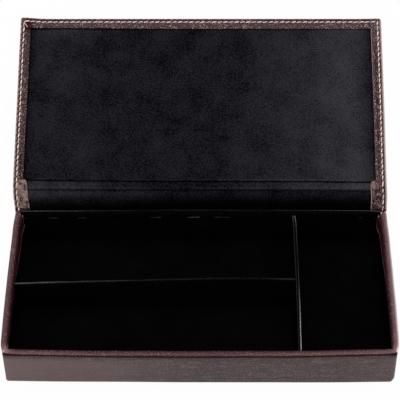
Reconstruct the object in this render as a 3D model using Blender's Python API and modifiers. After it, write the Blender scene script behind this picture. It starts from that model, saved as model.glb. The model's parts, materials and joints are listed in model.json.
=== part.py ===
"""Lidded desk organizer: a leather-covered tray with three suede-lined compartments and a book-style cover.

The cover is two stiff panels, a narrow spine and a wide lid, held by soft leather creases. The spine turns
on the tray's bottom rear edge and the lid turns on the spine's top edge. Metres, X right, Y back, Z up, with
the origin at the centre of the tray's underside.
"""
import math

import bmesh
import bpy

# Overall sizes.
RIM_WIDTH = 0.267           # tray over its rim, left to right
RIM_DEPTH = 0.125           # tray over its rim, front to back
TRAY_HEIGHT = 0.035         # table to the top of the rim
LID_WIDTH = 0.2736          # cover, left to right
LID_FRONT_LIP = 0.006       # how far the closed lid stands out in front of the rim

# Sheet and board thicknesses.
LEATHER = 0.0008
SUEDE = 0.0006
BASE_PANEL = 0.0008
WALL_BOARD = 0.0018
FLOOR_BOARD = 0.0024
STIFFENER = 0.0014          # board inside the spine and the lid
DIVIDER_BOARD = 0.0008
DIVIDER_SUEDE = 0.0004      # thinner suede, folded over the dividers
FIT = 0.0003                # gap between pieces that touch

# Rim strips on top of the walls.
RIM_LIP = 0.0008            # rim beyond the wall's leather
RIM_BAND = 0.004            # width of the strip
RIM_THICKNESS = 0.0012
RIM_ROUND = 0.0004

# Corners and edges.
CASE_ROUND = 0.0016         # outer edges of the tray's leather
COVER_ROUND = 0.001         # outer edges of the cover's leather
SADDLE_ROUND = 0.0005       # folded edges of the suede that is wrapped over a board
BASE_INSET = 0.002          # base panel inside the outline of the tray's leather

# Compartments.
DIVIDER_DROP = 0.001        # both dividers' top edges lie this far below the rim
DIVIDER_TOP = TRAY_HEIGHT - DIVIDER_DROP
CROSS_DIVIDER_X = 0.0674    # centre of the divider that runs front to back
LONG_DIVIDER_Y = 0.0006     # centre of the divider that runs left to right

# Cover and hinge lines.
LID_BORDER = 0.0078         # leather turned in over the lid's suede
SPINE_BORDER = 0.0105       # the same on the spine
SPINE_TAPER = 0.0021        # each side of the spine draws in by this towards its foot
SPINE_FOOT_WIDTH = LID_WIDTH - 2 * SPINE_TAPER
HINGE_DEPTH = 0.0014        # hinge line inside the cover's outer face
HINGE_HALF_GAP = 0.0036     # from a hinge line to the nearest stiff edge
SPINE_ELEVATION = math.radians(50.0)    # the open cover at rest, up from the horizontal
LID_ELEVATION = math.radians(20.5)

# Heights worked out from the sizes above.
CASE_BOTTOM = BASE_PANEL + FIT
FLOOR_BOARD_BOTTOM = CASE_BOTTOM + LEATHER + FIT
FLOOR_BOARD_TOP = FLOOR_BOARD_BOTTOM + FLOOR_BOARD
LINING_BOTTOM = FLOOR_BOARD_TOP + FIT
FLOOR_TOP = LINING_BOTTOM + SUEDE
RIM_BOTTOM = TRAY_HEIGHT - RIM_THICKNESS
WALL_TOP = RIM_BOTTOM - FIT

# Faces of the side and front walls, measured from the centre planes, from the outside in.
CASE_X = RIM_WIDTH / 2 - RIM_LIP
CASE_FRONT = -RIM_DEPTH / 2 + RIM_LIP
CASE_BACK = RIM_DEPTH / 2
BOARD_X = CASE_X - LEATHER - FIT
BOARD_INNER_X = BOARD_X - WALL_BOARD
LINING_X = BOARD_INNER_X - FIT
COMPARTMENT_X = LINING_X - SUEDE
BOARD_FRONT = CASE_FRONT + LEATHER + FIT
BOARD_FRONT_INNER = BOARD_FRONT + WALL_BOARD
LINING_FRONT = BOARD_FRONT_INNER + FIT
COMPARTMENT_FRONT = LINING_FRONT + SUEDE

# Faces of the back wall, from the outside in.
BACK_LINING_OUTER = CASE_BACK - FIT
BACK_BOARD_OUTER = BACK_LINING_OUTER - SUEDE - FIT
BACK_BOARD_INNER = BACK_BOARD_OUTER - WALL_BOARD
COMPARTMENT_BACK = BACK_BOARD_INNER - FIT - SUEDE
BACK_HALF_WIDTH = RIM_WIDTH / 2 - RIM_BAND - FIT    # it stands between the rim's side strips

# Dividers.
DIVIDER_SKIN = DIVIDER_SUEDE + FIT
DIVIDER_THICKNESS = DIVIDER_BOARD + 2 * DIVIDER_SKIN
CROSS_LEFT = CROSS_DIVIDER_X - DIVIDER_THICKNESS / 2
CROSS_RIGHT = CROSS_DIVIDER_X + DIVIDER_THICKNESS / 2
LONG_FRONT = LONG_DIVIDER_Y - DIVIDER_THICKNESS / 2
LONG_BACK = LONG_DIVIDER_Y + DIVIDER_THICKNESS / 2

# Cover layers, measured up from the hinge line towards the inner side.
COVER_THICKNESS = 2 * LEATHER + STIFFENER + SUEDE + 3 * FIT
COVER_OUTER = -HINGE_DEPTH
COVER_INNER = COVER_OUTER + COVER_THICKNESS
COVER_BOARD = (COVER_OUTER + LEATHER + FIT, COVER_OUTER + LEATHER + FIT + STIFFENER)
COVER_SUEDE = (COVER_BOARD[1] + FIT, COVER_BOARD[1] + FIT + SUEDE)

# Hinge lines. The closed spine stands FIT behind the rim, and the closed lid lies FIT above it.
SPINE_AXIS_Y = CASE_BACK + FIT + COVER_THICKNESS - HINGE_DEPTH
SPINE_AXIS_Z = CASE_BOTTOM + HINGE_DEPTH
SPINE_LENGTH = TRAY_HEIGHT + FIT + COVER_THICKNESS - HINGE_DEPTH - SPINE_AXIS_Z
LID_LENGTH = SPINE_AXIS_Y + RIM_DEPTH / 2 + LID_FRONT_LIP
SPINE_START = HINGE_HALF_GAP
SPINE_END = SPINE_LENGTH - HINGE_HALF_GAP
LID_START = HINGE_HALF_GAP
CREASE_REACH = HINGE_HALF_GAP - FIT


def srgb(code):
    """Linear colour from an sRGB hex code."""
    parts = [int(code[i:i + 2], 16) / 255 for i in (0, 2, 4)]
    return [c / 12.92 if c <= 0.04045 else ((c + 0.055) / 1.055) ** 2.4 for c in parts] + [1.0]


def make_material(name, code, roughness):
    material = bpy.data.materials.new(name)
    material.use_nodes = True
    shader = material.node_tree.nodes["Principled BSDF"]
    shader.inputs["Base Color"].default_value = srgb(code)
    shader.inputs["Roughness"].default_value = roughness
    shader.inputs["Metallic"].default_value = 0.0
    return material


def add_piece(name, bm, material, parent=None):
    """Turn a bmesh into a named object in the organizer's collection."""
    mesh = bpy.data.meshes.new(name)
    bm.normal_update()
    bm.to_mesh(mesh)
    bm.free()
    mesh.materials.append(material)
    piece = bpy.data.objects.new(name, mesh)
    piece.parent = parent
    organizer.objects.link(piece)
    return piece


def round_edges(piece, width, segments):
    bevel = piece.modifiers.new("rounded_edges", "BEVEL")
    bevel.width = width
    bevel.segments = segments
    bevel.limit_method = "ANGLE"
    bevel.angle_limit = math.radians(40)
    piece.data.shade_smooth()
    piece.data.set_sharp_from_angle(angle=math.radians(40))


def thicken(piece, thickness):
    """Give a skin its thickness, inwards from its outer face."""
    solid = piece.modifiers.new("thickness", "SOLIDIFY")
    solid.thickness = thickness
    solid.offset = -1.0
    solid.use_even_offset = True


def block(x, y, z, far_half_width=None):
    """A box between two limits on each axis; far_half_width narrows or widens its +Y end."""
    bm = bmesh.new()
    bmesh.ops.create_cube(bm, size=1.0)
    bmesh.ops.scale(bm, vec=(x[1] - x[0], y[1] - y[0], z[1] - z[0]), verts=bm.verts)
    bmesh.ops.translate(bm, vec=((x[0] + x[1]) / 2, (y[0] + y[1]) / 2, (z[0] + z[1]) / 2), verts=bm.verts)
    if far_half_width is not None:
        middle = (y[0] + y[1]) / 2
        for vert in bm.verts:
            if vert.co.y > middle:
                vert.co.x = math.copysign(far_half_width, vert.co.x)
    return bm


def panel(name, x, y, z, material, parent=None, far_half_width=None):
    return add_piece(name, block(x, y, z, far_half_width), material, parent)


def delete_faces(bm, facing):
    """Remove the faces whose outward normal points along any of the given directions."""
    bm.normal_update()
    gone = [f for f in bm.faces if any(sum(a * b for a, b in zip(f.normal, d)) > 0.9 for d in facing)]
    bmesh.ops.delete(bm, geom=gone, context="FACES")


def saddle(name, x, y, z, ends, thickness, material):
    """Suede folded over the top of a board, open below and at both ends."""
    bm = block(x, y, z)
    delete_faces(bm, [(0, 0, -1), ends, tuple(-c for c in ends)])
    piece = add_piece(name, bm, material)
    round_edges(piece, SADDLE_ROUND, 2)
    thicken(piece, thickness)
    return piece


def rim_strip(name, outline, material):
    """A flat strip with rounded edges, drawn as an outline and given its thickness."""
    curve = bpy.data.curves.new(name, "CURVE")
    curve.dimensions = "2D"
    curve.fill_mode = "BOTH"
    curve.extrude = RIM_THICKNESS / 2 - RIM_ROUND
    curve.bevel_depth = RIM_ROUND
    curve.offset = -RIM_ROUND
    curve.bevel_resolution = 1
    spline = curve.splines.new("POLY")
    spline.points.add(len(outline) - 1)
    for point, (px, py) in zip(spline.points, outline):
        point.co = (px, py, 0.0, 1.0)
    spline.use_cyclic_u = True
    curve.materials.append(material)
    piece = bpy.data.objects.new(name, curve)
    piece.location = (0.0, 0.0, RIM_BOTTOM + RIM_THICKNESS / 2)
    organizer.objects.link(piece)
    return piece


def cover_leather(near_half_width, far_half_width, near, far, border, open_ends):
    """The leather of one cover panel: outer sheet, folded edges and the border turned in over the suede.

    The near and far ends are at those distances along Y. An end in open_ends has no folded edge.
    """
    bm = block((-near_half_width, near_half_width), (near, far), (COVER_OUTER, COVER_INNER), far_half_width)
    bm.normal_update()
    inner_face = max(bm.faces, key=lambda f: f.normal.z)
    corners = [vert.co.copy() for vert in inner_face.verts]
    bmesh.ops.inset_region(bm, faces=[inner_face], thickness=border, depth=0.0, use_even_offset=True)
    for vert, corner in zip(inner_face.verts, corners):
        end = "far" if corner.y > (near + far) / 2 else "near"
        if end in open_ends:
            vert.co.y = corner.y
            vert.co.x = corner.x - math.copysign(border, corner.x)
    bmesh.ops.delete(bm, geom=[inner_face], context="FACES_ONLY")
    gone = []
    for face in bm.faces:
        for end, place in (("near", near), ("far", far)):
            at_end = [abs(v.co.y - place) < FIT / 10 for v in face.verts]
            if end in open_ends and all(at_end):
                gone.append(face)
    bmesh.ops.delete(bm, geom=gone, context="FACES")
    return bm


def fold(bm, angle, along):
    """Bend a flat crease about X: what lies beyond Y = 0 turns by angle, and the middle row is mitred.

    The folded piece is then moved by along in Y, to its hinge line in the parent's frame.
    """
    for vert in bm.verts:
        x, y, z = vert.co
        if abs(y) < FIT / 10:
            vert.co = (x, -z * math.tan(angle / 2), z)
        elif y > 0:
            turned_y = y * math.cos(angle) - z * math.sin(angle)
            turned_z = y * math.sin(angle) + z * math.cos(angle)
            vert.co = (x, turned_y, turned_z)
        vert.co.y += along


def split_middle(bm):
    bmesh.ops.bisect_plane(bm, geom=bm.verts[:] + bm.edges[:] + bm.faces[:],
                           plane_co=(0, 0, 0), plane_no=(0, 1, 0))


def crease_sheet(half_width, height):
    """A flat sheet across a hinge line, with a row of vertices on the line."""
    bm = bmesh.new()
    bmesh.ops.create_grid(bm, x_segments=1, y_segments=2, size=1.0)
    bmesh.ops.scale(bm, vec=(half_width, CREASE_REACH, 1.0), verts=bm.verts)
    bmesh.ops.translate(bm, vec=(0, 0, height), verts=bm.verts)
    return bm


for old in list(bpy.data.objects):
    bpy.data.objects.remove(old, do_unlink=True)

organizer = bpy.data.collections.new("lidded_desk_organizer")
bpy.context.scene.collection.children.link(organizer)

brown_leather = make_material("brown_pebbled_leather", "4A3436", 0.5)
black_suede = make_material("black_suede", "17171B", 0.95)
fibreboard = make_material("fibreboard", "9C8160", 0.9)
base_cloth = make_material("base_leatherboard", "241F20", 0.8)

# Tray: the leather case, and the boards that it is wrapped round.
base_panel = panel("base_panel", (-CASE_X + BASE_INSET, CASE_X - BASE_INSET),
                   (CASE_FRONT + BASE_INSET, CASE_BACK - BASE_INSET), (0.0, BASE_PANEL), base_cloth)

case_mesh = block((-CASE_X, CASE_X), (CASE_FRONT, CASE_BACK), (CASE_BOTTOM, WALL_TOP))
delete_faces(case_mesh, [(0, 0, 1), (0, 1, 0)])
case_leather = add_piece("case_leather", case_mesh, brown_leather)
round_edges(case_leather, CASE_ROUND, 3)
thicken(case_leather, LEATHER)

# The floor and front boards stop where the leather's rounded corner begins.
corner_x = CASE_X - max(CASE_ROUND, LEATHER + FIT)
floor_front = CASE_FRONT + max(CASE_ROUND, LEATHER + FIT)
panel("floor_board", (-corner_x, corner_x), (floor_front, BACK_BOARD_OUTER),
      (FLOOR_BOARD_BOTTOM, FLOOR_BOARD_TOP), fibreboard)
panel("front_board", (-corner_x, corner_x), (BOARD_FRONT, BOARD_FRONT_INNER),
      (LINING_BOTTOM, WALL_TOP), fibreboard)
side_y = (LINING_FRONT, BACK_BOARD_OUTER)
panel("left_board", (-BOARD_X, -BOARD_INNER_X), side_y, (LINING_BOTTOM, WALL_TOP), fibreboard)
panel("right_board", (BOARD_INNER_X, BOARD_X), side_y, (LINING_BOTTOM, WALL_TOP), fibreboard)
panel("back_board", (-BACK_HALF_WIDTH, BACK_HALF_WIDTH), (BACK_BOARD_INNER, BACK_BOARD_OUTER),
      (LINING_BOTTOM, TRAY_HEIGHT - SUEDE - FIT), fibreboard)

# Tray: the leather strips that finish the top of the walls, mitred at the front corners.
outer_x, inner_x = RIM_WIDTH / 2, RIM_WIDTH / 2 - RIM_BAND
outer_y, inner_y = -RIM_DEPTH / 2, -RIM_DEPTH / 2 + RIM_BAND
MITRE_GAP = FIT * math.sqrt(2)
rim_strip("rim_front", [(-outer_x + MITRE_GAP, outer_y), (outer_x - MITRE_GAP, outer_y),
                        (inner_x - MITRE_GAP, inner_y), (-inner_x + MITRE_GAP, inner_y)], brown_leather)
for side_name, side in (("rim_left", -1), ("rim_right", 1)):
    corners = [(side * outer_x, outer_y), (side * outer_x, RIM_DEPTH / 2),
               (side * inner_x, RIM_DEPTH / 2), (side * inner_x, inner_y)]
    rim_strip(side_name, corners if side < 0 else corners[::-1], brown_leather)

# Tray: suede on the inside of every wall and on the three floors.
panel("front_lining", (-LINING_X, LINING_X), (LINING_FRONT, COMPARTMENT_FRONT), (LINING_BOTTOM, WALL_TOP),
      black_suede)
lining_y = (COMPARTMENT_FRONT + FIT, COMPARTMENT_BACK - FIT)
panel("left_lining", (-LINING_X, -COMPARTMENT_X), lining_y, (LINING_BOTTOM, WALL_TOP), black_suede)
panel("right_lining", (COMPARTMENT_X, LINING_X), lining_y, (LINING_BOTTOM, WALL_TOP), black_suede)
saddle("back_lining", (-BACK_HALF_WIDTH, BACK_HALF_WIDTH), (COMPARTMENT_BACK, BACK_LINING_OUTER),
       (LINING_BOTTOM, TRAY_HEIGHT), (1, 0, 0), SUEDE, black_suede)

floor_z = (LINING_BOTTOM, FLOOR_TOP)
left_floor_x = (-COMPARTMENT_X + FIT, CROSS_LEFT - FIT)
panel("floor_lining_rear", left_floor_x, (LONG_BACK + FIT, COMPARTMENT_BACK - FIT), floor_z, black_suede)
panel("floor_lining_front", left_floor_x, (COMPARTMENT_FRONT + FIT, LONG_FRONT - FIT), floor_z, black_suede)
panel("floor_lining_right", (CROSS_RIGHT + FIT, COMPARTMENT_X - FIT), lining_y, floor_z, black_suede)

# Tray: the two dividers, each a thin board with suede folded over it.
board_z = (LINING_BOTTOM, DIVIDER_TOP - DIVIDER_SKIN)
panel("cross_divider_board", (CROSS_LEFT + DIVIDER_SKIN, CROSS_RIGHT - DIVIDER_SKIN), lining_y,
      board_z, fibreboard)
saddle("cross_divider_suede", (CROSS_LEFT, CROSS_RIGHT), lining_y, (LINING_BOTTOM, DIVIDER_TOP),
       (0, 1, 0), DIVIDER_SUEDE, black_suede)
panel("long_divider_board", left_floor_x, (LONG_FRONT + DIVIDER_SKIN, LONG_BACK - DIVIDER_SKIN),
      board_z, fibreboard)
saddle("long_divider_suede", left_floor_x, (LONG_FRONT, LONG_BACK), (LINING_BOTTOM, DIVIDER_TOP),
       (1, 0, 0), DIVIDER_SUEDE, black_suede)

# Hinge lines: the spine turns on the tray, and the lid turns on the spine.
spine_axis = bpy.data.objects.new("spine_axis", None)
spine_axis.location = (0.0, SPINE_AXIS_Y, SPINE_AXIS_Z)
spine_axis.rotation_euler = (SPINE_ELEVATION, 0.0, 0.0)
organizer.objects.link(spine_axis)
lid_axis = bpy.data.objects.new("lid_axis", None)
lid_axis.parent = spine_axis
lid_axis.location = (0.0, SPINE_LENGTH, 0.0)
lid_axis.rotation_euler = (LID_ELEVATION - SPINE_ELEVATION, 0.0, 0.0)
organizer.objects.link(lid_axis)


def spine_half_width(along):
    """Half of the spine's width at a distance up from its hinge line."""
    share = (along - SPINE_START) / (SPINE_END - SPINE_START)
    return (SPINE_FOOT_WIDTH + (LID_WIDTH - SPINE_FOOT_WIDTH) * share) / 2


# Spine: leather with its side borders turned in, a board, and suede.
spine_leather = add_piece("spine_leather", cover_leather(
    spine_half_width(SPINE_START), spine_half_width(SPINE_END), SPINE_START, SPINE_END, SPINE_BORDER,
    ("near", "far")), brown_leather, spine_axis)
round_edges(spine_leather, COVER_ROUND, 2)
thicken(spine_leather, LEATHER)
tuck = LEATHER + FIT
spine_layers = (("spine_board", COVER_BOARD, fibreboard), ("spine_lining", COVER_SUEDE, black_suede))
for name, layer, material in spine_layers:
    half = spine_half_width(SPINE_START) - tuck
    panel(name, (-half, half), (SPINE_START, SPINE_END), layer, material, spine_axis,
          spine_half_width(SPINE_END) - tuck)

# Lid: the same layers, with the border turned in along both sides and the front edge.
lid_leather = add_piece("lid_leather", cover_leather(
    LID_WIDTH / 2, LID_WIDTH / 2, LID_START, LID_LENGTH, LID_BORDER, ("near",)), brown_leather, lid_axis)
round_edges(lid_leather, COVER_ROUND, 2)
thicken(lid_leather, LEATHER)
lid_layers = (("lid_board", COVER_BOARD, fibreboard), ("lid_lining", COVER_SUEDE, black_suede))
for name, layer, material in lid_layers:
    half = LID_WIDTH / 2 - tuck
    panel(name, (-half, half), (LID_START, LID_LENGTH - tuck), layer, material, lid_axis)

# Creases: the soft leather and suede that cross the two hinge lines.
lid_fold = LID_ELEVATION - SPINE_ELEVATION
crease_mesh = cover_leather(LID_WIDTH / 2, LID_WIDTH / 2, -CREASE_REACH, CREASE_REACH, SPINE_BORDER,
                            ("near", "far"))
split_middle(crease_mesh)
fold(crease_mesh, lid_fold, SPINE_LENGTH)
lid_crease_leather = add_piece("lid_crease_leather", crease_mesh, brown_leather, spine_axis)
thicken(lid_crease_leather, LEATHER)

crease_mesh = crease_sheet(LID_WIDTH / 2 - tuck, COVER_SUEDE[1])
fold(crease_mesh, lid_fold, SPINE_LENGTH)
lid_crease_suede = add_piece("lid_crease_suede", crease_mesh, black_suede, spine_axis)
thicken(lid_crease_suede, SUEDE)

crease_mesh = crease_sheet(CASE_X, COVER_OUTER + LEATHER)
fold(crease_mesh, SPINE_ELEVATION, SPINE_AXIS_Y)
bmesh.ops.translate(crease_mesh, vec=(0, 0, SPINE_AXIS_Z), verts=crease_mesh.verts)
base_crease_leather = add_piece("base_crease_leather", crease_mesh, brown_leather)
thicken(base_crease_leather, LEATHER)
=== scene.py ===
import json
import math

import bmesh
import bpy
from mathutils import Matrix, Vector, noise
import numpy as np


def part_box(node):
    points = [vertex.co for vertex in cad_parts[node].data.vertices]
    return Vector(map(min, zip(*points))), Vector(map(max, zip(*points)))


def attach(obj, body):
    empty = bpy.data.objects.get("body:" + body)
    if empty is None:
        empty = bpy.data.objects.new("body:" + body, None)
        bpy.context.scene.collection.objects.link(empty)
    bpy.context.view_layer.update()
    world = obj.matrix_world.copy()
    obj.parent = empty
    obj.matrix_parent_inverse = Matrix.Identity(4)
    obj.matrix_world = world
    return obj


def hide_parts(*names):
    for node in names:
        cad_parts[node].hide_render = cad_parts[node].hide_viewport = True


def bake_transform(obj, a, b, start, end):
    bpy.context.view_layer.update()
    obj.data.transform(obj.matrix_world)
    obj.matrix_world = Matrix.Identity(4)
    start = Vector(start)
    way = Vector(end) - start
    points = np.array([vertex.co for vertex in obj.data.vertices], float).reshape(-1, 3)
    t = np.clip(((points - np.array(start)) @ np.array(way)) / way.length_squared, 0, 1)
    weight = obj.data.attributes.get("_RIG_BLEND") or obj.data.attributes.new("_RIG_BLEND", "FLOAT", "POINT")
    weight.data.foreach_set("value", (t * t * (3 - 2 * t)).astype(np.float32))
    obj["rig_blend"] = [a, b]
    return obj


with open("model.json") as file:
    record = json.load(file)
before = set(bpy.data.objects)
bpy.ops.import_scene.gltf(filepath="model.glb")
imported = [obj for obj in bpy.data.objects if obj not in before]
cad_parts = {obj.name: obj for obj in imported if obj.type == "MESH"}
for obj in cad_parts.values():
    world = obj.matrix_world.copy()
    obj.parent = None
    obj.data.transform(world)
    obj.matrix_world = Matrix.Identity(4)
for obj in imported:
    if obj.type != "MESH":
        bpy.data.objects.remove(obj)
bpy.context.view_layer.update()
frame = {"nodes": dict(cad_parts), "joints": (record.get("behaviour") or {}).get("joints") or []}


# Setting: a plain white table and backdrop in a white photo booth, with one wide soft lamp overhead and
# weaker ones low in front and on the right. The camera stands where the photograph's did, in front of the
# tray and looking down into it.
CAMERA_PLACE = (0.00240, -0.63043, 0.88382)
CAMERA_PITCH = math.radians(50.394)  # down from the horizontal
CAMERA_YAW = math.radians(0.210)
CAMERA_ROLL = math.radians(-0.147)
CAMERA_LENS = 137.2  # millimetres, on a 36 mm sensor
BOOTH_WHITE = "FFFFFF"
BOOTH_LIGHT = 0.62  # how much the booth lights the object, where 1 is as white as it looks
TABLE_WHITE = "F2F2F2"
TABLE_SIZE = 6.0
PAPER_GLOW = 0.96  # share of the table's white that is its own light
LAMP_WHITE = "FFFDFA"
LAMPS = (("overhead_softbox", (0.1, 0.15, 1.5), (0.0, 0.05, 0.0), (1.3, 0.9), 9.0),
         ("front_fill", (-0.6, -1.3, 0.7), (0.0, 0.0, 0.0), (0.8, 0.8), 3.0),
         ("right_fill", (1.3, 0.2, 0.5), (0.0, 0.0, 0.05), (0.6, 0.6), 1.6))  # place, aim, size, watts


def colour(code):
    """Linear colour from an sRGB hex code."""
    parts = [int(code[i:i + 2], 16) / 255 for i in (0, 2, 4)]
    return [c / 12.92 if c <= 0.04045 else ((c + 0.055) / 1.055) ** 2.4 for c in parts] + [1.0]


def add_node(tree, kind, inputs=None, **settings):
    """Add a shader node; inputs hold values, sockets to link from, or nodes for their first output."""
    node = tree.nodes.new("ShaderNode" + kind)
    for key, value in settings.items():
        setattr(node, key, value)
    for key, value in (inputs or {}).items():
        if isinstance(value, bpy.types.Node):
            value = next(socket for socket in value.outputs if socket.enabled)
        if isinstance(value, bpy.types.NodeSocket):
            tree.links.new(value, node.inputs[key])
        else:
            node.inputs[key].default_value = value
    return node


def new_material(name):
    """A material with an empty node tree, and the tree."""
    material = bpy.data.materials.new(name)
    material.use_nodes = True
    material.node_tree.nodes.clear()
    return material, material.node_tree


def seen_directly(tree):
    """1 for rays that show the backdrop itself: seen by the camera, in a gloss or through glass."""
    path = add_node(tree, "LightPath")
    seen = add_node(tree, "Math", {0: path.outputs["Is Camera Ray"], 1: path.outputs["Is Glossy Ray"]},
                    operation="ADD")
    return add_node(tree, "Math", {0: seen, 1: path.outputs["Is Transmission Ray"]}, operation="ADD",
                    use_clamp=True)


scene = bpy.context.scene
scene.view_settings.view_transform = "Standard"

camera_data = bpy.data.cameras.new("camera")
camera_data.lens = CAMERA_LENS
camera_data.sensor_width = 36.0
camera_data.clip_end = 20.0
camera = bpy.data.objects.new("camera", camera_data)
camera.matrix_world = (Matrix.Translation(CAMERA_PLACE) @ Matrix.Rotation(CAMERA_YAW, 4, "Z")
                       @ Matrix.Rotation(math.pi / 2 - CAMERA_PITCH, 4, "X")
                       @ Matrix.Rotation(CAMERA_ROLL, 4, "Z"))
scene.collection.objects.link(camera)
scene.camera = camera

# The booth's walls are white to the eye and light the object a little less than they look.
world = bpy.data.worlds.new("white_booth")
world.use_nodes = True
scene.world = world
tree = world.node_tree
tree.nodes.clear()
strength = add_node(tree, "MapRange", {"Value": seen_directly(tree), "To Min": BOOTH_LIGHT, "To Max": 1.0})
booth = add_node(tree, "Background", {"Color": colour(BOOTH_WHITE), "Strength": strength})
add_node(tree, "OutputWorld", {"Surface": booth})

# The table's white paper glows to the eye as an over-lit backdrop does, and keeps a faint shadow.
table_paper, tree = new_material("white_backdrop_paper")
paper = add_node(tree, "BsdfDiffuse", {"Color": colour(TABLE_WHITE), "Roughness": 1.0})
glow = add_node(tree, "Emission", {"Color": colour(BOOTH_WHITE), "Strength": 1.0})
glow_share = add_node(tree, "Math", {0: seen_directly(tree), 1: PAPER_GLOW}, operation="MULTIPLY")
mix = add_node(tree, "MixShader", {0: glow_share, 1: paper, 2: glow})
add_node(tree, "OutputMaterial", {"Surface": mix})
table_mesh = bmesh.new()
bmesh.ops.create_grid(table_mesh, x_segments=8, y_segments=8, size=TABLE_SIZE / 2)
table_data = bpy.data.meshes.new("white_table")
table_mesh.to_mesh(table_data)
table_mesh.free()
table_data.materials.append(table_paper)
white_table = bpy.data.objects.new("white_table", table_data)
scene.collection.objects.link(white_table)

for name, place, aim, size, watts in LAMPS:
    data = bpy.data.lights.new(name, "AREA")
    data.shape = "RECTANGLE"
    data.size, data.size_y = size
    data.energy = watts
    data.color = colour(LAMP_WHITE)[:3]
    lamp = bpy.data.objects.new(name, data)
    lamp.location = place
    lamp.rotation_euler = (Vector(aim) - Vector(place)).to_track_quat("-Z", "Y").to_euler()
    scene.collection.objects.link(lamp)


# Base panel: thin dark leatherboard glued under the tray, which hides the turned-in leather and is what the
# box stands on. It is pressed from leather fibre.
BASE_DARK = "1E1A1B"
BASE_LIGHT = "2D2728"
BASE_FLECK = 0.0012  # real fibres are finer; drawn coarser to show


def pressed_fibre(name, dark, light, fleck, grain, roughness, relief_depth):
    """Board pressed from fibre: fully matt, with short flecks of two tones that stand up a little."""
    material, tree = new_material(name)
    place = add_node(tree, "TexCoord").outputs["Object"]
    flecks = add_node(tree, "TexNoise", {"Vector": place, "Scale": 1 / fleck, **grain})
    tone = add_node(tree, "Mix", {0: flecks, 6: colour(dark), 7: colour(light)}, data_type="RGBA")
    relief = add_node(tree, "Bump", {"Height": flecks, "Strength": 0.3, "Distance": relief_depth})
    shader = add_node(tree, "BsdfPrincipled", {"Base Color": tone, "Roughness": roughness, "Normal": relief})
    add_node(tree, "OutputMaterial", {"Surface": shader})
    return material


def finish_solid(name, material):
    """Give a CAD solid that is shown as it is its material."""
    slots = frame["nodes"][name].data.materials
    slots.clear()
    slots.append(material)


leatherboard = pressed_fibre("pressed_leatherboard", BASE_DARK, BASE_LIGHT, BASE_FLECK,
                             {"Detail": 3.0, "Roughness": 0.6}, 0.85, 0.0002)
finish_solid("base_panel", leatherboard)


# Boards: stiff brown fibreboard inside the walls, the floor, the dividers, the spine and the lid. They are
# cut from sheet and lie wholly under leather and suede, so only their edges would ever show.
BOARD_DARK = "8A7050"
BOARD_LIGHT = "AE9470"
BOARD_FLECK = 0.0009  # real fibres are finer; drawn coarser to show
fibreboard = pressed_fibre("pressed_fibreboard", BOARD_DARK, BOARD_LIGHT, BOARD_FLECK,
                           {"Detail": 4.0, "Roughness": 0.7, "Distortion": 0.6}, 0.9, 0.0001)
for name in frame["nodes"]:
    if name.endswith("_board"):
        finish_solid(name, fibreboard)


# Tray case: one piece of brown leather wrapped under the floor and up the front and side walls. It is skived
# calf with a fine pebbled grain, pulled smooth over the boards, with soft rounded corners and slack wrinkles.
MM = 0.001
LEATHER_THICKNESS = 0.0008
CASE_CORNER = 0.0018  # radius of the upright corners, left and right of the front wall
CASE_FOOT = 0.0022  # radius of the bottom edge
CASE_STEP = 0.0022  # mesh step along the walls
CASE_ZONE = 0.009  # part of each side wall that belongs to a corner
CASE_SLACK = 0.00016  # how far the leather stands off the boards, in and out
CASE_TUCK = 0.0007  # how far the walls' leather dips in under the rim
WALL_RISE = 0.0007  # how far it reaches up there
FOOT_BLUNT = 0.0018  # how far the front right foot corner is knocked in
UNDERSIDE_INSET = 0.0085
CORNER_STEPS = 12  # mesh steps on each straight part of a corner
TURN_STEPS = 4  # and round its turn
# How the walls stray from true, in millimetres by x from left to right: how far the front wall's foot and top
# stand out (in, where below 0) and how far its foot sags.
FOOT_BOW = ((-133, 0.0), (-100, 0.4), (0, 0.8), (100, 0.7), (133, 0.2))
TOP_BOW = ((-133, -1.15), (-124, -1.05), (-103, -0.75), (-80, 0.0), (-62, 0.35), (0, 0.7), (62, 0.35),
           (85, -0.3), (103, -0.8), (126, -1.4), (133, -1.45))
FOOT_DROP = ((-133, 0.1), (-60, 0.5), (40, 0.8), (133, 0.9))
# How far the side walls' tops stand out, by y from front to back.
LEFT_BOW = ((-62, -0.3), (-50, 0.3), (-25, 0.5), (10, 0.3), (35, 0.0), (50, -0.2), (58, -0.7), (62, -0.8))
RIGHT_BOW = ((-62, -0.5), (-50, 0.1), (-25, 0.6), (35, 0.55), (50, 0.25))
# How pale the front wall is painted from left to right: rubbed at its ends, and painted light, strongest
# on the left, towards the front lamp.
FRONT_RUB_AND_LIGHT = ((-133, 0.9), (-124, 0.85), (-103, 0.7), (-62, 0.5), (-30, 0.2), (0, 0.0), (90, 0.05),
             (110, 0.1), (133, 0.25))
# The leather turned in round the side walls' rear ends: how far in it lies, and how far back.
WALL_END = ((0.0042, 0.0001), (0.0022, 0.00015), (0.0007, 0.0001), (0.0002, 0.00005))
CASE_TONES = ("2C1B1D", "352225", "665051")  # pit, body and rubbed top
# Painted shade, mostly: the dark a hide leans to under the rim, on its flap and by the cover's folds.
SHADE_AND_CREASE_MAROON = "280A10"
RAW_FLESH = "E2D8D4"  # undyed, where a cut edge shows
OUTER_WEAR = 0.35  # how much of the grain's pale tops is left on the cover's outer face
GRAIN_PITCH = 0.0009  # from pebble to pebble; fine calf's are nearer 0.5 mm, drawn coarser to show
WRINKLE_PITCH = 0.0018  # from wrinkle to wrinkle, across them
WRINKLE_RUN = 0.2  # across over along
RUB_CLOUD = 0.014  # size of the clouds in the finish


def between(pairs, place):
    """Value at a place on a line through (place, value) pairs."""
    if place <= pairs[0][0]:
        return pairs[0][1]
    for (low, start), (high, end) in zip(pairs, pairs[1:]):
        if place <= high:
            return start + (end - start) * (place - low) / (high - low)
    return pairs[-1][1]


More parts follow.
